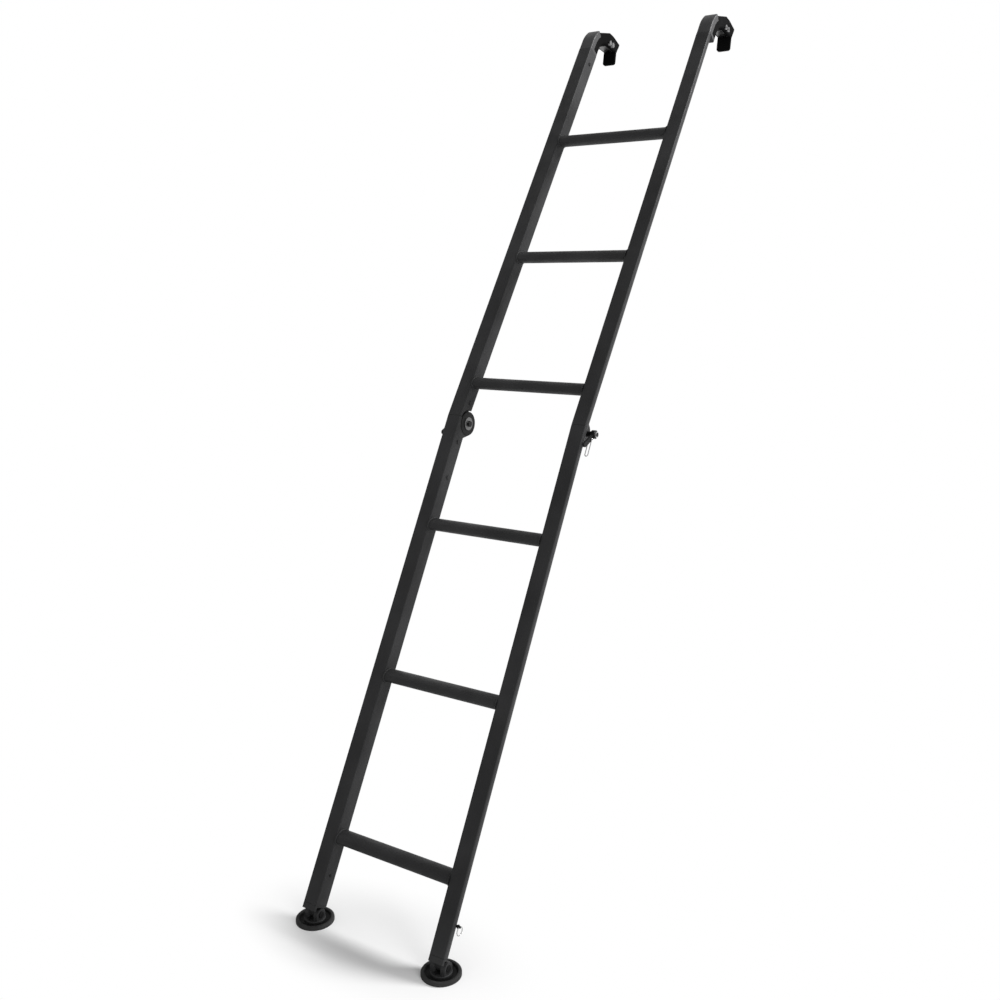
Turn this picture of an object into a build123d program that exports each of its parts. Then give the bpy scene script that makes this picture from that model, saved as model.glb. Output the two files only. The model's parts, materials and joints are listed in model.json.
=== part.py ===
from build123d import *
import os
from math import cos, radians, sin

# Folding ladder for reaching a roof rack: two halves on a hinge behind the stiles, hooks at the
# top, sliding legs and tilting feet at the bottom. Millimetres, +Z up, +X along the rungs towards
# the right stile, +Y towards the vehicle. The origin is on the ground, midway between the feet.
# Every pair is drawn on the right and mirrored to the left.

# Stance
lower_lean_angle = 28.8
upper_lean_angle = 33.85
stile_axis_height = 28.0
foot_pivot_height = 15.0
kink_along = 948.0
mitre_gap = 0.5

# Stiles: a tube with a flat front and inner side, and a well rounded outer back corner
stile_spacing = 280.0
stile_width = 30.0
stile_depth = 31.5
stile_wall = 2.0
stile_corner = 2.0
stile_outer_radius = 27.5
lower_stile_end = 4.0
upper_stile_length = 928.0

# Rungs: level oval tubes
rung_pitch = 300.0
rungs_per_half = 3
lower_first_rung = 126.5
upper_first_rung = 80.3
rung_depth = 36.0
rung_height = 23.25
rung_wall = 2.0

# Fits
running_clearance = 0.05
seat_clearance = 0.1
slide_clearance = 0.3
side_clearance = 0.4

# Hinge: a cast block in each tube end, with a round eye that stands out behind the stile
pivot_setback = 1.0
pivot_below_kink = 4.0
pivot_radius = 4.0
pivot_head_radius = 6.0
pivot_head_height = 4.0
pivot_nut_radius = 6.3
pivot_nut_height = 2.5
pivot_end_length = 0.5
eye_radius = 24.0
eye_thickness = 6.5
eye_rim_clearance = 0.5
eye_toe_radius = 2.0
eye_toe_from_pivot = 30.0
eye_toe_clearance = 3.4
lower_block_reach = 36.0
upper_block_reach = 30.0
block_tail_wall = 3.0
lower_tail_past_rivet = 8.0
upper_tail_length = 60.0
cover_rim = 0.5
cover_thickness = 1.0
washer_radius = 13.0
washer_thickness = 1.5
spacer_radius = 5.5
rivet_radius = 2.5
rivet_head_radius = 3.8
rivet_head_height = 1.5
rivet_grip_past_wall = 5.0
rivet_back = 2.5
lower_rivet_from_pivot = 45.0
lower_rivet_spacing = 75.0
upper_rivet_from_pivot = 38.0

# Clamp lever on the outer end of each hinge pivot
lever_gap = 0.5
lever_hub_radius = 8.0
lever_hub_length = 7.5
lever_thickness = 4.0
lever_width = 9.0
lever_reach = 39.0
lever_angle = 39.0
link_from_pivot = 14.0

# Pull link on each lever, pull ring on each leg pin
link_wire = 0.9
link_half_width = 3.0
link_straight = 30.0
leg_ring_radius = 7.5
leg_ring_wire = 0.8
ring_eye_clearance = 0.3

# Sliding legs
leg_wall = 2.0
leg_end_gap = 0.5
leg_travel = 150.0
leg_past_slot = 26.0
leg_pin_along = 56.5
leg_pin_back = 0.0
leg_pin_radius = 2.5
leg_pin_inner_tail = 1.0
leg_pin_head_radius = 3.5
leg_pin_head_thickness = 1.5
leg_pin_neck_radius = 2.0
leg_pin_neck_length = 3.6

# Fork at the foot of each leg
fork_flange = 3.0
fork_plug_length = 26.0
fork_lip_thickness = 4.0
fork_lip_length = 7.0
tongue_thickness = 12.0
tongue_radius = 7.0

# Feet
foot_pin_radius = 4.0
foot_pin_head_radius = 6.0
foot_pin_head_thickness = 1.5
ear_thickness = 8.5
ear_radius = 11.0
bracket_base_radius = 19.0
bracket_base_thickness = 4.0
bracket_base_chamfer = 1.0
pad_radius = 34.5
pad_floor = 3.0
pad_rim_height = 7.0
pad_rim_width = 7.0
pad_rim_round = 3.0
foot_screw_radius = 2.0
foot_screw_head_radius = 3.5
foot_screw_head_height = 2.0
foot_screw_depth = 2.0
foot_screw_circle_radius = 12.0
foot_screw_count = 2

# Hooks
crook_straight = 20.5
crook_radius = 55.0
crook_turn_angle = 66.15
crook_bare_angle = 31.0
crook_corner = 3.0
spigot_length = 60.0
spigot_screw_from_end = 34.0
spigot_screw_depth = 10.0
core_width = 19.0
core_length = 38.0
core_top = 10.0
core_bottom = 28.0
strip_start = 1.0
strip_thickness = 3.0
lining_depth = 17.25
lining_straight = 14.5
boot_top_step = 4.25
boot_knee = 7.8
boot_knee_drop = 0.2
boot_shoulder = 27.0
boot_shoulder_drop = 1.2
boot_rear = 59.5
boot_rear_drop = 8.6
boot_tip_end = 47.5
boot_tip_thickness = 5.5
boot_tip_drop = 58.2
boot_tip_cover = 3.2
boot_tip_round = 5.0
boot_corner = 2.0
hook_bolt_radius = 3.0
hook_bolt_head_radius = 5.2
hook_bolt_head_height = 3.0
hook_bolt_socket_radius = 2.4
hook_bolt_socket_depth = 1.8
hook_bolt_along = 8.0
hook_bolt_spacing = 13.0
hook_bolt_down = 23.0
hook_nut_radius = 5.8
hook_nut_height = 5.0

# Values that follow from the sizes above
stile_x = stile_spacing / 2
inner_x = stile_x - stile_width / 2
outer_x = stile_x + stile_width / 2
half_depth = stile_depth / 2


def leaning_frame(origin, lean):
    """A frame on the stiles: x along the rungs, y out of the ladder's back, z up the stile."""
    up = Vector(0, sin(radians(lean)), cos(radians(lean)))
    return Plane(origin=origin, x_dir=(1, 0, 0), z_dir=up)


def across(frame, along, x=0.0):
    """The plane across the frame's z at a distance along it, centred on x."""
    return Plane(frame.from_local_coords((x, 0, along)), x_dir=frame.x_dir, z_dir=frame.z_dir)


def side_on(frame, x):
    """The plane square to X: its x runs out of the frame's back and its y along the frame."""
    return Plane(frame.from_local_coords((x, 0, 0)), x_dir=frame.y_dir, z_dir=frame.x_dir)


def stile_section(inset):
    """The right stile's shape set in all round: a rectangle with its outer back corner rounded off."""
    with BuildSketch() as off_cut:
        with Locations((stile_width / 2 - stile_outer_radius, half_depth - stile_outer_radius)):
            Rectangle(stile_outer_radius, stile_outer_radius, align=(Align.MIN, Align.MIN))
            Circle(stile_outer_radius - inset, mode=Mode.SUBTRACT)
    with BuildSketch() as section:
        Rectangle(stile_width - 2 * inset, stile_depth - 2 * inset)
        add(off_cut.sketch, mode=Mode.SUBTRACT)
    return section.sketch


def rod(frame, x_start, x_end, spots, radius, mode=Mode.ADD):
    """Round bars, or holes, along X between two x values, at (back, along) spots of a frame."""
    with BuildSketch(side_on(frame, x_start)) as ends:
        with Locations(*spots):
            Circle(radius)
    extrude(ends.sketch, amount=x_end - x_start, mode=mode)


def save(part, name):
    part.label = name
    export_step(part, f"parts/{name}.step")


def save_pair(part, name):
    save(part, f"{name}_right")
    save(mirror(part, about=Plane.YZ), f"{name}_left")


os.makedirs("parts", exist_ok=True)

lower = leaning_frame((0, 0, stile_axis_height), lower_lean_angle)
kink = lower.from_local_coords((0, 0, kink_along))
upper = leaning_frame(kink, upper_lean_angle)
mitre = leaning_frame(kink, (lower_lean_angle + upper_lean_angle) / 2)
foot = leaning_frame((0, 0, foot_pivot_height), 0)

with BuildSketch() as stile_outline:
    add(stile_section(0))
    fillet(stile_outline.vertices().sort_by(Axis((0, 0, 0), (1, 1, 0)))[:3], stile_corner)
outline = stile_outline.sketch
cavity = stile_section(stile_wall)
tail_outline = stile_section(stile_wall + seat_clearance)
tail_bore = stile_section(stile_wall + seat_clearance + block_tail_wall)
leg_outline = stile_section(stile_wall + slide_clearance)
leg_bore = stile_section(stile_wall + slide_clearance + leg_wall)
fork_plug_outline = stile_section(stile_wall + slide_clearance + leg_wall + seat_clearance)

# The hinge axis, in the lower frame and in the upper one
pivot_back = half_depth + pivot_setback
pivot_along = kink_along - pivot_below_kink
pivot_point = lower.from_local_coords((0, pivot_back, pivot_along))
pivot_in_upper = upper.to_local_coords(pivot_point)
pivot_spot = (pivot_back, pivot_along)
upper_pivot_spot = (pivot_in_upper.Y, pivot_in_upper.Z)
lower_tube_top = pivot_along - lower_block_reach
upper_tube_bottom = pivot_in_upper.Z + upper_block_reach

# Layers of the hinge, from the bolt's head outwards
cover_x = inner_x - cover_thickness
washer_x = cover_x - washer_thickness
lower_eye_end_x = inner_x + eye_thickness
upper_eye_x = lower_eye_end_x + side_clearance
upper_eye_end_x = upper_eye_x + eye_thickness
spacer_x = upper_eye_end_x + side_clearance
lever_x = outer_x + lever_gap
lever_end_x = lever_x + lever_hub_length
pivot_nut_x = lever_end_x + side_clearance
pivot_end_x = pivot_nut_x + pivot_nut_height + pivot_end_length

# Spots of the fixings, as (back, along)
lower_rivets_at = [(rivet_back, pivot_along - lower_rivet_from_pivot - n * lower_rivet_spacing) for n in range(2)]
lower_tail_end = lower_rivets_at[-1][1] - lower_tail_past_rivet
upper_rivets_at = [(rivet_back, pivot_in_upper.Z + upper_rivet_from_pivot)]
spigot_screws_at = [(0, upper_stile_length - spigot_screw_from_end)]
leg_pin_spots = [(leg_pin_back, leg_pin_along)]
rivet_hole = rivet_radius + running_clearance
pivot_hole = pivot_radius + running_clearance

# Stiles
with BuildPart() as lower_stile:
    with BuildSketch(across(lower, lower_stile_end, stile_x)):
        add(outline)
        add(cavity, mode=Mode.SUBTRACT)
    extrude(amount=lower_tube_top - lower_stile_end)
    rod(lower, inner_x - stile_wall, outer_x + stile_wall, leg_pin_spots,
        leg_pin_radius + running_clearance, Mode.SUBTRACT)
    rod(lower, inner_x - stile_wall, stile_x, lower_rivets_at, rivet_hole, Mode.SUBTRACT)
save_pair(lower_stile.part, "lower_stile")

with BuildPart() as upper_stile:
    with BuildSketch(across(upper, upper_tube_bottom, stile_x)):
        add(outline)
        add(cavity, mode=Mode.SUBTRACT)
    extrude(amount=upper_stile_length - upper_tube_bottom)
    rod(upper, inner_x - stile_wall, stile_x, upper_rivets_at + spigot_screws_at, rivet_hole, Mode.SUBTRACT)
save_pair(upper_stile.part, "upper_stile")

# Rungs, level in use, butted against the flat inner sides of the stiles
for frame, half, first in ((lower, "lower", lower_first_rung), (upper, "upper", upper_first_rung)):
    for number in range(rungs_per_half):
        spot = frame.from_local_coords((-inner_x, 0, first + number * rung_pitch))
        with BuildPart() as rung:
            with BuildSketch(Plane(spot, x_dir=(0, 1, 0), z_dir=(1, 0, 0))):
                Ellipse(rung_depth / 2, rung_height / 2)
                Ellipse(rung_depth / 2 - rung_wall, rung_height / 2 - rung_wall, mode=Mode.SUBTRACT)
            extrude(amount=2 * inner_x)
        save(rung.part, f"{half}_rung_{number + 1}")

# Hinge blocks: each carries on its stile's shape up to the mitre, with a hollow tail in the tube.
# Its eye turns in a round recess of the other block, and the lower eye runs down to a toe.
with BuildPart() as lower_block:
    with BuildSketch(across(lower, lower_tube_top, stile_x)):
        add(outline)
    extrude(amount=lower_block_reach + stile_depth)
    split(bisect_by=mitre.offset(-mitre_gap / 2), keep=Keep.BOTTOM)
    rod(lower, lower_eye_end_x, spacer_x, [pivot_spot], eye_radius + eye_rim_clearance, Mode.SUBTRACT)
    with BuildSketch(side_on(lower, inner_x)):
        with Locations(pivot_spot):
            Circle(eye_radius)
        with Locations((half_depth - eye_toe_radius, pivot_along - eye_toe_from_pivot)):
            Circle(eye_toe_radius)
        make_hull()
    extrude(amount=eye_thickness)
    rod(lower, spacer_x, outer_x, [pivot_spot], spacer_radius + seat_clearance, Mode.SUBTRACT)
    rod(lower, inner_x, outer_x, [pivot_spot], pivot_hole, Mode.SUBTRACT)
    with BuildSketch(across(lower, lower_tube_top, stile_x)):
        add(tail_outline)
        add(tail_bore, mode=Mode.SUBTRACT)
    extrude(amount=lower_tail_end - lower_tube_top)
    rod(lower, inner_x, stile_x, lower_rivets_at, rivet_hole, Mode.SUBTRACT)
save_pair(lower_block.part, "lower_hinge_block")

with BuildPart() as upper_block:
    with BuildSketch(across(upper, upper_tube_bottom, stile_x)):
        add(outline)
    extrude(amount=-upper_block_reach - stile_depth)
    split(bisect_by=mitre.offset(mitre_gap / 2), keep=Keep.TOP)
    rod(upper, inner_x, upper_eye_x, [upper_pivot_spot], eye_radius + eye_toe_clearance, Mode.SUBTRACT)
    rod(upper, upper_eye_x, upper_eye_end_x, [upper_pivot_spot], eye_radius)
    rod(upper, upper_eye_end_x, outer_x, [upper_pivot_spot], spacer_radius + side_clearance, Mode.SUBTRACT)
    rod(upper, inner_x, outer_x, [upper_pivot_spot], pivot_hole, Mode.SUBTRACT)
    with BuildSketch(across(upper, upper_tube_bottom, stile_x)):
        add(tail_outline)
        add(tail_bore, mode=Mode.SUBTRACT)
    extrude(amount=upper_tail_length)
    rod(upper, inner_x, stile_x, upper_rivets_at, rivet_hole, Mode.SUBTRACT)
save_pair(upper_block.part, "upper_hinge_block")

# Rivets through the stile's wall and the block's tail
for frame, half, spots in ((lower, "lower", lower_rivets_at), (upper, "upper", upper_rivets_at)):
    with BuildPart() as rivets:
        rod(frame, inner_x, inner_x + stile_wall + rivet_grip_past_wall, spots, rivet_radius)
        rod(frame, inner_x - rivet_head_height, inner_x, spots, rivet_head_radius)
        mirror(about=Plane.YZ)
    save(rivets.part, f"{half}_rivets")

# Hinge pivots: a bolt with its head, a washer and a cover disc inside, a spacer up to the lever
# and a nut outside
with BuildPart() as pivot:
    rod(lower, washer_x, pivot_end_x, [pivot_spot], pivot_radius)
    with BuildSketch(side_on(lower, washer_x)):
        with Locations(pivot_spot):
            RegularPolygon(pivot_head_radius, 6)
    extrude(amount=-pivot_head_height)
save_pair(pivot.part, "hinge_pivot")

with BuildPart() as cover:
    rod(lower, cover_x, inner_x, [pivot_spot], eye_radius - cover_rim)
    rod(lower, cover_x, inner_x, [pivot_spot], pivot_hole, Mode.SUBTRACT)
save_pair(cover.part, "hinge_cover")

with BuildPart() as washer:
    rod(lower, washer_x, cover_x, [pivot_spot], washer_radius)
    rod(lower, washer_x, cover_x, [pivot_spot], pivot_hole, Mode.SUBTRACT)
save_pair(washer.part, "hinge_washer")

with BuildPart() as spacer:
    rod(lower, spacer_x, lever_x - side_clearance, [pivot_spot], spacer_radius)
    rod(lower, spacer_x, lever_x, [pivot_spot], pivot_hole, Mode.SUBTRACT)
save_pair(spacer.part, "hinge_spacer")

with BuildPart() as pivot_nuts:
    with BuildSketch(side_on(lower, pivot_nut_x)):
        with Locations(pivot_spot):
            RegularPolygon(pivot_nut_radius, 6)
            Circle(pivot_hole, mode=Mode.SUBTRACT)
    extrude(amount=pivot_nut_height)
    mirror(about=Plane.YZ)
save(pivot_nuts.part, "hinge_nuts")

# Clamp levers: a hub on the pivot and a flat arm with a hole for the link
lever_frame = leaning_frame(pivot_point, lower_lean_angle + lever_angle)
lever_middle_x = (lever_x + lever_end_x) / 2
lever_arm_x = lever_middle_x - lever_thickness / 2
link_rise = (link_half_width ** 2 - (lever_thickness / 2) ** 2) ** 0.5
link_bow = link_half_width - link_rise
link_hole = link_wire * link_half_width / link_rise + link_bow / 2 + ring_eye_clearance
with BuildPart() as lever:
    rod(lower, lever_x, lever_end_x, [pivot_spot], lever_hub_radius)
    with BuildSketch(side_on(lever_frame, lever_arm_x)):
        with Locations((0, -lever_reach / 2)):
            SlotCenterToCenter(lever_reach, lever_width, rotation=90)
    extrude(amount=lever_thickness)
    rod(lever_frame, lever_x, lever_end_x, [(0, 0)], pivot_hole, Mode.SUBTRACT)
    rod(lever_frame, lever_x, lever_end_x, [(0, -link_from_pivot)], link_hole, Mode.SUBTRACT)
save_pair(lever.part, "clamp_lever")

# Pull links: a long wire loop through the lever's hole, lying along the stile
link_hang = lever_frame.from_local_coords((lever_middle_x, 0, -link_from_pivot))
link_top = Plane(link_hang + lower.z_dir * (link_bow / 2), x_dir=(1, 0, 0), z_dir=-lower.y_dir)
with BuildPart() as link:
    with BuildLine(link_top) as link_line:
        CenterArc((0, -link_half_width), link_half_width, 0, 180)
        Line((-link_half_width, -link_half_width), (-link_half_width, -link_half_width - link_straight))
        CenterArc((0, -link_half_width - link_straight), link_half_width, 180, 180)
        Line((link_half_width, -link_half_width - link_straight), (link_half_width, -link_half_width))
    link_side = link_top.from_local_coords((link_half_width, -link_half_width - link_straight / 2, 0))
    with BuildSketch(Plane(link_side, x_dir=(1, 0, 0), z_dir=lower.z_dir)):
        Circle(link_wire)
    sweep(path=link_line.wire())
save_pair(link.part, "pull_link")

# Sliding legs, slotted for the pin over their whole travel
leg_end = lower_stile_end - leg_end_gap
leg_top = leg_pin_along + leg_travel + leg_past_slot
with BuildPart() as leg:
    with BuildSketch(across(lower, leg_end, stile_x)):
        add(leg_outline)
        add(leg_bore, mode=Mode.SUBTRACT)
    extrude(amount=leg_top - leg_end)
    with BuildSketch(side_on(lower, inner_x)):
        with Locations((leg_pin_back, leg_pin_along + leg_travel / 2)):
            SlotCenterToCenter(leg_travel, 2 * (leg_pin_radius + slide_clearance), rotation=90)
    extrude(amount=stile_width, mode=Mode.SUBTRACT)
save_pair(leg.part, "leg_tube")

# Leg pins with a head outside and a neck that carries a ring
leg_pin_point = lower.from_local_coords((0, leg_pin_back, leg_pin_along))
leg_neck_x = outer_x + side_clearance + leg_pin_head_thickness
leg_ring_x = leg_neck_x + leg_pin_neck_length / 2
leg_ring_hole = leg_ring_wire + ring_eye_clearance + leg_pin_neck_radius ** 2 / (2 * leg_ring_radius)
with BuildPart() as leg_pin:
    rod(lower, inner_x - leg_pin_inner_tail, leg_neck_x, leg_pin_spots, leg_pin_radius)
    rod(lower, outer_x + side_clearance, leg_neck_x, leg_pin_spots, leg_pin_head_radius)
    rod(lower, leg_neck_x, leg_neck_x + leg_pin_neck_length, leg_pin_spots, leg_pin_neck_radius)
    with BuildSketch(Plane((leg_ring_x, leg_pin_point.Y, leg_pin_point.Z), x_dir=(1, 0, 0), z_dir=(0, 1, 0))):
        Circle(leg_ring_hole)
    extrude(amount=leg_pin_head_radius, both=True, mode=Mode.SUBTRACT)
save_pair(leg_pin.part, "leg_pin")

with BuildPart() as leg_ring:
    with Locations(Plane((leg_ring_x, leg_pin_point.Y, leg_pin_point.Z - leg_ring_radius), z_dir=(1, 0, 0))):
        Torus(leg_ring_radius, leg_ring_wire)
save_pair(leg_ring.part, "leg_pin_ring")

# Fork at the end of each leg: a plug in the leg, a flange with a lip in front and a tongue for the foot pin
tongue_x = stile_x - tongue_thickness / 2
foot_in_lower = lower.to_local_coords(Vector(0, 0, foot_pivot_height))
foot_spot = (foot_in_lower.Y, foot_in_lower.Z)
with BuildPart() as fork:
    with BuildSketch(across(lower, leg_end, stile_x)):
        add(fork_plug_outline)
    extrude(amount=fork_plug_length)
    with BuildSketch(across(lower, leg_end, stile_x)):
        add(outline)
    extrude(amount=-fork_flange)
    with BuildSketch(across(lower, leg_end, stile_x)):
        add(outline)
        with Locations((0, -half_depth)):
            Rectangle(stile_width, 2 * fork_lip_thickness, mode=Mode.INTERSECT)
    extrude(amount=-(fork_flange + fork_lip_length))
    with BuildSketch(side_on(lower, tongue_x)):
        with Locations(foot_spot):
            Circle(tongue_radius)
        with Locations((0, leg_end - fork_flange / 2)):
            Rectangle(2 * tongue_radius, fork_flange)
        make_hull()
    extrude(amount=tongue_thickness)
    rod(lower, inner_x, outer_x, [foot_spot], foot_pin_radius + running_clearance, Mode.SUBTRACT)
save_pair(fork.part, "leg_fork")

# Feet: a bracket with two ears, standing in a dished rubber pad
ear_x = stile_x - tongue_thickness / 2 - slide_clearance - ear_thickness
ear_far_x = stile_x + tongue_thickness / 2 + slide_clearance
ear_height = foot_pivot_height - pad_floor
with BuildPart() as bracket:
    with BuildSketch(Plane((stile_x, 0, pad_floor))):
        Circle(bracket_base_radius)
    extrude(amount=bracket_base_thickness)
    chamfer(bracket.edges().group_by(Axis.Z)[-1], bracket_base_chamfer)
    for start_x in (ear_x, ear_far_x):
        with BuildSketch(side_on(foot, start_x)):
            Circle(ear_radius)
            with Locations((0, -ear_height / 2)):
                Rectangle(2 * ear_radius, ear_height)
        extrude(amount=ear_thickness)
    rod(foot, inner_x, outer_x, [(0, 0)], foot_pin_radius + running_clearance, Mode.SUBTRACT)
    with Locations(Plane((stile_x, 0, pad_floor + bracket_base_thickness))):
        with PolarLocations(foot_screw_circle_radius, foot_screw_count, start_angle=90):
            Hole(foot_screw_radius + running_clearance, bracket_base_thickness)
save_pair(bracket.part, "foot_bracket")

with BuildPart() as foot_pin:
    rod(foot, ear_x, ear_far_x + ear_thickness, [(0, 0)], foot_pin_radius)
    rod(foot, ear_x - foot_pin_head_thickness, ear_x, [(0, 0)], foot_pin_head_radius)
    far_face = ear_far_x + ear_thickness
    rod(foot, far_face, far_face + foot_pin_head_thickness, [(0, 0)], foot_pin_head_radius)
save_pair(foot_pin.part, "foot_pin")

with BuildPart() as pad:
    with BuildSketch(Plane((stile_x, 0, 0))):
        Circle(pad_radius)
    extrude(amount=pad_rim_height)
    with BuildSketch(Plane((stile_x, 0, pad_floor))):
        Circle(pad_radius - pad_rim_width)
    extrude(amount=pad_rim_height, mode=Mode.SUBTRACT)
    fillet(pad.edges().group_by(Axis.Z)[-1], pad_rim_round)
    with Locations(Plane((stile_x, 0, pad_floor))):
        with PolarLocations(foot_screw_circle_radius, foot_screw_count, start_angle=90):
            Hole(foot_screw_radius + running_clearance, foot_screw_depth)
save_pair(pad.part, "foot_pad")

with BuildPart() as foot_screws:
    base_top = pad_floor + bracket_base_thickness
    with BuildSketch(Plane((stile_x, 0, base_top))):
        with PolarLocations(foot_screw_circle_radius, foot_screw_count, start_angle=90):
            Circle(foot_screw_radius)
    extrude(amount=-bracket_base_thickness - foot_screw_depth)
    with BuildSketch(Plane((stile_x, 0, base_top))):
        with PolarLocations(foot_screw_circle_radius, foot_screw_count, start_angle=90):
            Circle(foot_screw_head_radius)
    extrude(amount=foot_screw_head_height)
save_pair(foot_screws.part, "foot_screws")

# Hooks: the stile's end turns back over the rail
def crook_line(turn):
    """The middle of the crook: a straight run on from the stile and a bend that turns back."""
    with BuildLine(side_on(upper, stile_x)) as run:
        straight = Line((0, upper_stile_length), (0, upper_stile_length + crook_straight))
        JernArc(straight @ 1, straight % 1, crook_radius, -turn)
    return run.line


crook_start = across(upper, upper_stile_length, stile_x)
bare_line = crook_line(crook_bare_angle)
hook_line = crook_line(crook_turn_angle)
bend_end = hook_line @ 1 - Vector(stile_x, 0, 0)
core_middle = (core_top + core_bottom) / 2 - half_depth


def core_bar(grow):
    """The core inside the whole hook, grown all round by a clearance."""
    with BuildLine() as run:
        add(hook_line)
        Line(hook_line @ 1, hook_line @ 1 + (hook_line % 1) * (core_length + grow))
    with BuildPart() as bar:
        with BuildSketch(crook_start):
            with Locations((0, core_middle)):
                Rectangle(core_width + 2 * grow, core_bottom - core_top + 2 * grow)
        sweep(path=run.line)
    return bar.part


# In the arm's frame y runs down from the top of the arm and z along it
arm_middle = leaning_frame(bend_end, upper_lean_angle + crook_turn_angle)
arm = leaning_frame(arm_middle.from_local_coords((0, -half_depth, 0)), upper_lean_angle + crook_turn_angle)
arm_bolts = [(hook_bolt_down, hook_bolt_along + n * hook_bolt_spacing) for n in range(2)]
outer_bend_radius = crook_radius + half_depth
boot_underside = core_bottom + strip_thickness
boot_tip_start = boot_tip_end - boot_tip_thickness
lining_inner_radius = outer_bend_radius - boot_underside
lining_outer_radius = lining_inner_radius + lining_depth


def on_bend(radius, turn, below=0.0):
    """A spot on the bend, or below its start, as (down, along) in the arm's frame."""
    left = radians(crook_turn_angle - turn)
    down = outer_bend_radius - radius * cos(left) + below * sin(left)
    return down, -radius * sin(left) - below * cos(left)


# The boot from its side: a lining of the throat, the arm and the turned down tip
with BuildSketch() as lining:
    with Locations((outer_bend_radius, 0)):
        Circle(lining_outer_radius)
        Circle(lining_inner_radius, mode=Mode.SUBTRACT)
    with BuildLine():
        Polyline((outer_bend_radius, 0), on_bend(2 * outer_bend_radius, crook_turn_angle),
                 on_bend(2 * outer_bend_radius, 0), close=True)
    make_face(mode=Mode.INTERSECT)
    with BuildLine():
        Polyline(on_bend(lining_outer_radius, 0), on_bend(lining_inner_radius, 0),
                 on_bend(lining_inner_radius, 0, lining_straight), on_bend(lining_outer_radius, 0, lining_straight),
                 close=True)
    make_face()
with BuildSketch(side_on(arm, inner_x)) as boot_side:
    with BuildLine():
        Polyline(on_bend(lining_inner_radius + lining_depth / 2, crook_bare_angle),
                 on_bend(outer_bend_radius - boot_top_step, crook_bare_angle), (boot_knee_drop, boot_knee),
                 (boot_shoulder_drop, boot_shoulder), (boot_rear_drop, boot_rear), (boot_underside, boot_tip_end),
                 (boot_tip_drop, boot_tip_end), (boot_tip_drop, boot_tip_start), (boot_underside, boot_tip_start),
                 (boot_underside, 0), close=True)
    make_face()
    fillet(boot_side.vertices().sort_by(Axis.Y)[-1], boot_corner)
    add(lining.sketch)

# The crook is one casting: a spigot in the stile, a bare bend and the core
with BuildPart() as crook:
    with BuildSketch(crook_start):
        RectangleRounded(stile_width, stile_depth, crook_corner)
    sweep(path=bare_line)
    extrude(boot_side.sketch, amount=stile_width, mode=Mode.SUBTRACT)
    add(core_bar(0))
    with BuildSketch(across(upper, upper_stile_length - spigot_length, stile_x)):
        add(tail_outline)
    extrude(amount=spigot_length)
    rod(arm, inner_x, outer_x, arm_bolts, hook_bolt_radius + running_clearance, Mode.SUBTRACT)
    rod(upper, inner_x, inner_x + stile_wall + spigot_screw_depth, spigot_screws_at, rivet_hole,
        Mode.SUBTRACT)
save_pair(crook.part, "hook_crook")

with BuildPart() as spigot_screws:
    rod(upper, inner_x, inner_x + stile_wall + spigot_screw_depth, spigot_screws_at, rivet_radius)
    rod(upper, inner_x - rivet_head_height, inner_x, spigot_screws_at, rivet_head_radius)
    mirror(about=Plane.YZ)
save(spigot_screws.part, "spigot_screws")

# Steel strip under the core, flush with the boot's underside and turned down inside its tip
strip_drop = boot_tip_drop - boot_tip_cover
strip_end = boot_tip_end - (boot_tip_thickness - strip_thickness) / 2
core_x = stile_x - core_width / 2


def strip_outline(grow):
    """The strip seen from its side, grown all round by a clearance."""
    with BuildSketch() as strip_side:
        with Locations((core_bottom + strip_thickness / 2, (strip_start + strip_end) / 2)):
            Rectangle(strip_thickness + 2 * grow, strip_end - strip_start + 2 * grow)
        with Locations(((core_bottom + strip_drop) / 2, strip_end - strip_thickness / 2)):
            Rectangle(strip_drop - core_bottom + 2 * grow, strip_thickness + 2 * grow)
    return strip_side.sketch


strip_side = strip_outline(0)
strip_pocket = strip_outline(seat_clearance)
with BuildPart() as strip:
    with BuildSketch(side_on(arm, core_x)):
        add(strip_side)
    extrude(amount=core_width)
save_pair(strip.part, "hook_strip")

# Rubber boot over the core
with BuildPart() as boot:
    extrude(boot_side.sketch, amount=stile_width)
    tip_edges = boot.edges().filter_by(Axis((0, 0, 0), arm.z_dir)).sort_by(Axis((0, 0, 0), arm.y_dir))[-4:]
    fillet(tip_edges.group_by(Axis.X)[0] + tip_edges.group_by(Axis.X)[-1], boot_tip_round)
    add(core_bar(seat_clearance), mode=Mode.SUBTRACT)
    with BuildSketch(side_on(arm, core_x - seat_clearance)):
        add(strip_pocket)
    extrude(amount=core_width + 2 * seat_clearance, mode=Mode.SUBTRACT)
    rod(arm, inner_x, outer_x, arm_bolts, hook_bolt_radius + running_clearance, Mode.SUBTRACT)
save_pair(boot.part, "hook_boot")

hook_bolt_end_x = outer_x + hook_bolt_head_height
with BuildPart() as hook_bolts:
    rod(arm, inner_x - hook_nut_height, outer_x, arm_bolts, hook_bolt_radius)
    rod(arm, outer_x, hook_bolt_end_x, arm_bolts, hook_bolt_head_radius)
    with BuildSketch(side_on(arm, hook_bolt_end_x)):
        with Locations(*arm_bolts):
            RegularPolygon(hook_bolt_socket_radius, 6)
    extrude(amount=-hook_bolt_socket_depth, mode=Mode.SUBTRACT)
    mirror(about=Plane.YZ)
save(hook_bolts.part, "hook_bolts")

with BuildPart() as hook_nuts:
    with BuildSketch(side_on(arm, inner_x)):
        with Locations(*arm_bolts):
            RegularPolygon(hook_nut_radius, 6)
            Circle(hook_bolt_radius + running_clearance, mode=Mode.SUBTRACT)
    extrude(amount=-hook_nut_height)
    mirror(about=Plane.YZ)
save(hook_nuts.part, "hook_nuts")
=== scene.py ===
import json
import math

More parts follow.
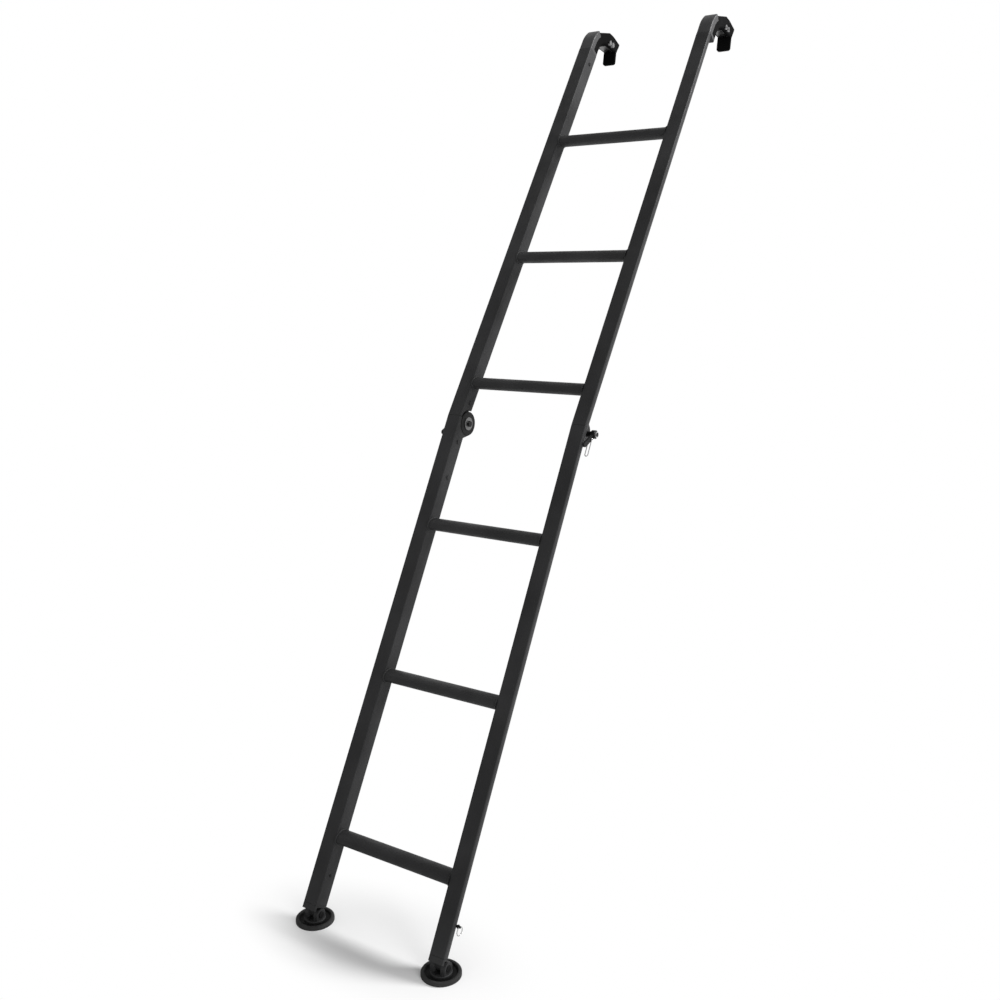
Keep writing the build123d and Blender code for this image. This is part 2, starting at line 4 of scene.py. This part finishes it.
import bpy
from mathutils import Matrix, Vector


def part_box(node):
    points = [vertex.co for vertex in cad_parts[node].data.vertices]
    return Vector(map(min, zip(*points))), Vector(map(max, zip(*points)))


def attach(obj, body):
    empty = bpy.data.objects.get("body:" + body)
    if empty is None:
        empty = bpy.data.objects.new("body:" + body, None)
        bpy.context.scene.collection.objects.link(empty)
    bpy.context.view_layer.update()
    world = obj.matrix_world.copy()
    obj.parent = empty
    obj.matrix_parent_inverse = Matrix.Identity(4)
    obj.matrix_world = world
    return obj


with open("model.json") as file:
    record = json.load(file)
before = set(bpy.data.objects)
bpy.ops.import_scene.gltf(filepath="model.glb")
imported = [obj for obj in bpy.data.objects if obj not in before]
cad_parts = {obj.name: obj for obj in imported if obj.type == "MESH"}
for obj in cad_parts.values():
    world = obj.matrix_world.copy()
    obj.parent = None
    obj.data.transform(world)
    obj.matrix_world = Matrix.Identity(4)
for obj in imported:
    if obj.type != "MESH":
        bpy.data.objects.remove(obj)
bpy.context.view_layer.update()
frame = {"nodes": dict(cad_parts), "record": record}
nodes = frame["nodes"]
scene = bpy.context.scene
scene.view_settings.view_transform = "Standard"

# Sizes are in metres and lamp powers in watts

# Weld beads round the rung ends, with the crown's two points as shares of the bead's size
WELD_SIZE = 0.0023
WELD_RIPPLE = 0.0002
WELD_RIPPLES = 40
WELD_TURNS = 120
WELD_SUNK = 0.00015
CROWN_FAR = 0.85
CROWN_NEAR = 0.45

# Foot pads: how far each stands from the ladder's middle, and the radii where painted shade in the dish
# turns grey
PAD_MIDDLE = 0.140
PAD_DISH_SHADE_RADIUS = 0.0265
PAD_RIM_RADIUS = 0.0300

# The photo's camera
CAMERA_PLACE = (1.0675, -1.25096, 1.11876)
CAMERA_TILT = math.radians(78.465)
CAMERA_TURN = math.radians(32.97)
CAMERA_LENS_MM = 37.937
CAMERA_SENSOR_MM = 36.0

# The world's light, as a share of white
WORLD_LEVEL = 0.42

# Floor: shadow shows in an oval round the feet and fades to plain white outside it
FLOOR_REACH = 30.0
FLOOR_SHADE = 0.90
FLOOR_ROUGHNESS = 0.9
OVAL_SHIFT = (-0.004, -0.02, 0.0)
OVAL_SCALE = (0.5, 1.0, 1.0)
FADE_START = 0.05
FADE_END = 0.17


# Shader steps

def new_material(name):
    """A material with its node tree and its shader, ready for links."""
    material = bpy.data.materials.new(name)
    material.use_nodes = True
    tree = material.node_tree
    return material, tree, tree.nodes["Principled BSDF"]


def object_place(tree):
    """Object coordinates, in metres, which stay with a piece as it moves."""
    return tree.nodes.new("ShaderNodeTexCoord").outputs["Object"]


def noise(tree, cells, detail=4.0, length=(1.0, 1.0, 1.0), lean=0.0):
    """Noise in object space, in cells per metre, drawn out along axes that lean about X."""
    mapping = tree.nodes.new("ShaderNodeMapping")
    mapping.vector_type = "TEXTURE"
    mapping.inputs["Rotation"].default_value = (-lean, 0.0, 0.0)
    mapping.inputs["Scale"].default_value = length
    texture = tree.nodes.new("ShaderNodeTexNoise")
    texture.inputs["Scale"].default_value = cells
    texture.inputs["Detail"].default_value = detail
    tree.links.new(object_place(tree), mapping.inputs["Vector"])
    tree.links.new(mapping.outputs["Vector"], texture.inputs["Vector"])
    return texture.outputs["Fac"]


def grey(value, tint=0.0):
    """A grey that is bluer by the tint."""
    return (value, value, value * (1.0 + tint), 1.0)


def ramp(tree, value, shades, start=0.35, end=0.65, tint=0.0):
    """A ramp from one grey to another over part of a value's range."""
    node = tree.nodes.new("ShaderNodeValToRGB")
    first, last = node.color_ramp.elements
    first.position, last.position = start, end
    first.color, last.color = grey(shades[0], tint), grey(shades[1], tint)
    tree.links.new(value, node.inputs["Fac"])
    return node.outputs["Color"]


def bump(tree, shader, height, strength, distance):
    """A surface that rises and falls with a value."""
    node = tree.nodes.new("ShaderNodeBump")
    node.inputs["Strength"].default_value = strength
    node.inputs["Distance"].default_value = distance
    tree.links.new(height, node.inputs["Height"])
    tree.links.new(node.outputs["Normal"], shader.inputs["Normal"])


def vector_step(tree, operation, vector, constant=(0.0, 0.0, 0.0)):
    """One vector operation, with a constant as its second input where it takes one."""
    node = tree.nodes.new("ShaderNodeVectorMath")
    node.operation = operation
    node.inputs[1].default_value = constant
    tree.links.new(vector, node.inputs[0])
    return node


# Kinds of material: shades and roughness run from low to high, and grain is in cells per metre

def coated(name, shades, roughness, gloss, grain, depth):
    """Powder coat or rubber: cloudy colour, uneven gloss and a fine grained surface."""
    material, tree, shader = new_material(name)
    clouds = ramp(tree, noise(tree, cells=9.0), shades, tint=0.03)
    patches = ramp(tree, noise(tree, cells=26.0), roughness)
    shader.inputs["Specular IOR Level"].default_value = gloss
    tree.links.new(clouds, shader.inputs["Base Color"])
    tree.links.new(patches, shader.inputs["Roughness"])
    bump(tree, shader, noise(tree, cells=grain, detail=3.0), strength=0.35, distance=depth)
    return material


def bare_metal(name, shades, roughness, length, lean=0.0):
    """Bare metal with fine lines along the axis on which the length is greatest."""
    material, tree, shader = new_material(name)
    lines = noise(tree, cells=1200.0, detail=5.0, length=length, lean=lean)
    patches = ramp(tree, noise(tree, cells=60.0), roughness)
    shader.inputs["Metallic"].default_value = 1.0
    tree.links.new(ramp(tree, lines, shades), shader.inputs["Base Color"])
    tree.links.new(patches, shader.inputs["Roughness"])
    bump(tree, shader, lines, strength=0.25, distance=0.0003)
    return material


def rubber_with_painted_dish_shade(name, shades, roughness, gloss, grain, depth):
    """Rubber painted black as shade in a pad's dish, and scuffed grey on its rim."""
    material, tree, shader = new_material(name)
    both_feet = vector_step(tree, "ABSOLUTE", object_place(tree))
    from_foot = vector_step(tree, "SUBTRACT", both_feet.outputs["Vector"], (PAD_MIDDLE, 0.0, 0.0))
    level = vector_step(tree, "MULTIPLY", from_foot.outputs["Vector"], (1.0, 1.0, 0.0))
    radius = vector_step(tree, "LENGTH", level.outputs["Vector"])
    outward = tree.nodes.new("ShaderNodeMapRange")
    outward.inputs["From Min"].default_value = PAD_DISH_SHADE_RADIUS
    outward.inputs["From Max"].default_value = PAD_RIM_RADIUS
    tree.links.new(radius.outputs["Value"], outward.inputs["Value"])
    # Painted shade: black inside the dish, turning to the rim's grey rubber further out
    dish_shade_and_rim_grey = ramp(tree, outward.outputs["Result"], shades, start=0.0, end=1.0)
    scuffs = ramp(tree, noise(tree, cells=60.0), (0.75, 1.0))
    patches = ramp(tree, noise(tree, cells=40.0), roughness)
    worn = tree.nodes.new("ShaderNodeMixRGB")
    worn.blend_type = "MULTIPLY"
    worn.inputs["Fac"].default_value = 1.0
    tree.links.new(dish_shade_and_rim_grey, worn.inputs["Color1"])
    tree.links.new(scuffs, worn.inputs["Color2"])
    shader.inputs["Specular IOR Level"].default_value = gloss
    tree.links.new(worn.outputs["Color"], shader.inputs["Base Color"])
    tree.links.new(patches, shader.inputs["Roughness"])
    bump(tree, shader, noise(tree, cells=grain, detail=3.0), strength=0.35, distance=depth)
    return material


# Looks of the material slots, with the legs' draw lines along the way that the legs slide

joints = {joint["name"]: joint for joint in frame["record"]["behaviour"]["joints"]}
leg_axis = joints["leg_right_slide"]["axis"]
leg_lean = math.atan2(-leg_axis[1], -leg_axis[2])
ALONG_X = (6.0, 1.0, 1.0)
ALONG_Z = (1.0, 1.0, 6.0)
ALONG_LEG = (1.0, 1.0, 60.0)

COATS = {
    "dark_coat": dict(shades=(0.020, 0.031), roughness=(0.42, 0.60), gloss=0.12, grain=900, depth=0.0009),
    "crook_coat": dict(shades=(0.032, 0.046), roughness=(0.38, 0.54), gloss=0.14, grain=900, depth=0.0007),
    "black_steel": dict(shades=(0.006, 0.010), roughness=(0.38, 0.52), gloss=0.12, grain=900, depth=0.0003),
    "rubber": dict(shades=(0.003, 0.006), roughness=(0.60, 0.80), gloss=0.012, grain=1400, depth=0.0005),
}
METALS = {
    "plain_aluminium": dict(shades=(0.28, 0.38), roughness=(0.42, 0.54), length=ALONG_LEG, lean=leg_lean),
    "bright_steel": dict(shades=(0.62, 0.78), roughness=(0.18, 0.32), length=ALONG_X),
    "grey_steel": dict(shades=(0.14, 0.20), roughness=(0.30, 0.45), length=ALONG_X),
    "bright_ring": dict(shades=(0.40, 0.52), roughness=(0.22, 0.34), length=ALONG_Z),
}
PADS = {
    # The darker shade is painted shade for the pad's dish; the lighter one is the rim's grey rubber
    "pad_rubber": dict(shades=(0.003, 0.035), roughness=(0.55, 0.75), gloss=0.08, grain=1400, depth=0.0004),
}
LOOKS = {}
for make, kind in ((coated, COATS), (bare_metal, METALS), (rubber_with_painted_dish_shade, PADS)):
    for name, values in kind.items():
        LOOKS[name] = make(name, **values)
for part in frame["record"]["subparts"]:
    mesh = nodes[part["node"]].data
    mesh.materials.clear()
    mesh.materials.append(LOOKS[part["material_slot"]])


# Weld beads

def new_piece(name, vertices, faces, look, body):
    """A smooth mesh piece with a look, riding on a body."""
    mesh = bpy.data.meshes.new(name)
    mesh.from_pydata(vertices, [], faces)
    mesh.polygons.foreach_set("use_smooth", [True] * len(mesh.polygons))
    mesh.materials.append(LOOKS[look])
    piece = bpy.data.objects.new(name, mesh)
    scene.collection.objects.link(piece)
    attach(piece, body)


def ring_faces(turns, points):
    """Quads of a closed tube: each turn is a closed loop of points, and the turns close on themselves."""
    faces = []
    for turn in range(turns):
        start = turn * points
        after = (turn + 1) % turns * points
        for point in range(points):
            beside = (point + 1) % points
            faces.append((start + point, after + point, after + beside, start + beside))
    return faces


def weld_bead(name, node, side, body):
    """A rippled fillet weld round the end of an oval rung."""
    low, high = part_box(node)
    middle_y, middle_z = (low[1] + high[1]) / 2, (low[2] + high[2]) / 2
    half_y, half_z = (high[1] - low[1]) / 2, (high[2] - low[2]) / 2
    face_x = high[0] if side > 0 else low[0]
    along_rung = Vector((-side, 0.0, 0.0))
    vertices = []
    for turn in range(WELD_TURNS):
        angle = 2 * math.pi * turn / WELD_TURNS
        across, up = math.cos(angle), math.sin(angle)
        edge = Vector((face_x, middle_y + half_y * across, middle_z + half_z * up))
        off_rung = Vector((0.0, across / half_y, up / half_z)).normalized()
        size = WELD_SIZE + WELD_RIPPLE * math.sin(WELD_RIPPLES * angle)
        section = (
            (-WELD_SUNK, -WELD_SUNK),
            (size, -WELD_SUNK),
            (size * CROWN_FAR, size * CROWN_NEAR),
            (size * CROWN_NEAR, size * CROWN_FAR),
            (-WELD_SUNK, size),
        )
        for off, along in section:
            vertices.append(edge + off_rung * off + along_rung * along)
    new_piece(name, vertices, ring_faces(WELD_TURNS, len(section)), "dark_coat", body)


for half in ("lower", "upper"):
    for number in (1, 2, 3):
        for word, side in (("right", 1.0), ("left", -1.0)):
            weld_bead(f"{half}_weld_{number}_{word}", f"{half}_rung_{number}", side, f"{half}_half")


# Camera, lamps, world and floor

def add_camera():
    """The camera that took the photo."""
    data = bpy.data.cameras.new("camera")
    data.sensor_width = CAMERA_SENSOR_MM
    data.lens = CAMERA_LENS_MM
    camera = bpy.data.objects.new("camera", data)
    camera.location = CAMERA_PLACE
    camera.rotation_euler = (CAMERA_TILT, 0.0, CAMERA_TURN)
    scene.collection.objects.link(camera)
    scene.camera = camera


def area_light(name, place, target, size, power):
    """A round lamp that faces a target."""
    data = bpy.data.lights.new(name, "AREA")
    data.shape = "DISK"
    data.size = size
    data.energy = power
    lamp = bpy.data.objects.new(name, data)
    lamp.location = place
    lamp.rotation_euler = (Vector(target) - Vector(place)).to_track_quat("-Z", "Y").to_euler()
    scene.collection.objects.link(lamp)


def seen_directly(tree):
    """One for camera, glossy and transmission rays, nought for the rays that carry light."""
    path = tree.nodes.new("ShaderNodeLightPath")
    value = path.outputs["Is Camera Ray"]
    for ray in ("Is Glossy Ray", "Is Transmission Ray"):
        either = tree.nodes.new("ShaderNodeMath")
        either.operation = "MAXIMUM"
        tree.links.new(value, either.inputs[0])
        tree.links.new(path.outputs[ray], either.inputs[1])
        value = either.outputs[0]
    return value


def add_world():
    """A world that looks white and lights the ladder less than white would."""
    world = bpy.data.worlds.new("studio")
    world.use_nodes = True
    tree = world.node_tree
    background = tree.nodes["Background"]
    background.inputs["Color"].default_value = grey(1.0)
    level = tree.nodes.new("ShaderNodeMapRange")
    level.inputs["To Min"].default_value = WORLD_LEVEL
    level.inputs["To Max"].default_value = 1.0
    tree.links.new(seen_directly(tree), level.inputs["Value"])
    tree.links.new(level.outputs["Result"], background.inputs["Strength"])
    scene.world = world


def floor_material():
    """A pale floor that takes shadow in an oval round the feet and looks plain white outside it."""
    material, tree, shader = new_material("floor")
    shader.inputs["Base Color"].default_value = grey(FLOOR_SHADE)
    shader.inputs["Roughness"].default_value = FLOOR_ROUGHNESS
    shader.inputs["Specular IOR Level"].default_value = 0.0
    oval = tree.nodes.new("ShaderNodeMapping")
    oval.inputs["Location"].default_value = OVAL_SHIFT
    oval.inputs["Scale"].default_value = OVAL_SCALE
    tree.links.new(object_place(tree), oval.inputs["Vector"])
    distance = vector_step(tree, "LENGTH", oval.outputs["Vector"])
    fade = tree.nodes.new("ShaderNodeMapRange")
    fade.interpolation_type = "SMOOTHSTEP"
    fade.inputs["From Min"].default_value = FADE_START
    fade.inputs["From Max"].default_value = FADE_END
    tree.links.new(distance.outputs["Value"], fade.inputs["Value"])
    share = tree.nodes.new("ShaderNodeMath")
    share.operation = "MULTIPLY"
    tree.links.new(fade.outputs["Result"], share.inputs[0])
    tree.links.new(seen_directly(tree), share.inputs[1])
    white = tree.nodes.new("ShaderNodeEmission")
    blend = tree.nodes.new("ShaderNodeMixShader")
    tree.links.new(share.outputs[0], blend.inputs["Fac"])
    tree.links.new(shader.outputs["BSDF"], blend.inputs[1])
    tree.links.new(white.outputs["Emission"], blend.inputs[2])
    tree.links.new(blend.outputs["Shader"], tree.nodes["Material Output"].inputs["Surface"])
    return material


def add_floor():
    """One large square on the ground."""
    mesh = bpy.data.meshes.new("floor")
    signs = ((-1, -1), (1, -1), (1, 1), (-1, 1))
    corners = [(x * FLOOR_REACH, y * FLOOR_REACH, 0.0) for x, y in signs]
    mesh.from_pydata(corners, [], [(0, 1, 2, 3)])
    mesh.materials.append(floor_material())
    floor = bpy.data.objects.new("floor", mesh)
    scene.collection.objects.link(floor)


add_camera()
area_light("key", place=(1.68, 2.08, 2.89), target=(0.0, 0.0, 0.0), size=0.65, power=115.0)
area_light("fill", place=(3.4, -1.4, 0.8), target=(0.0, 0.4, 0.8), size=1.4, power=50.0)
add_world()
add_floor()
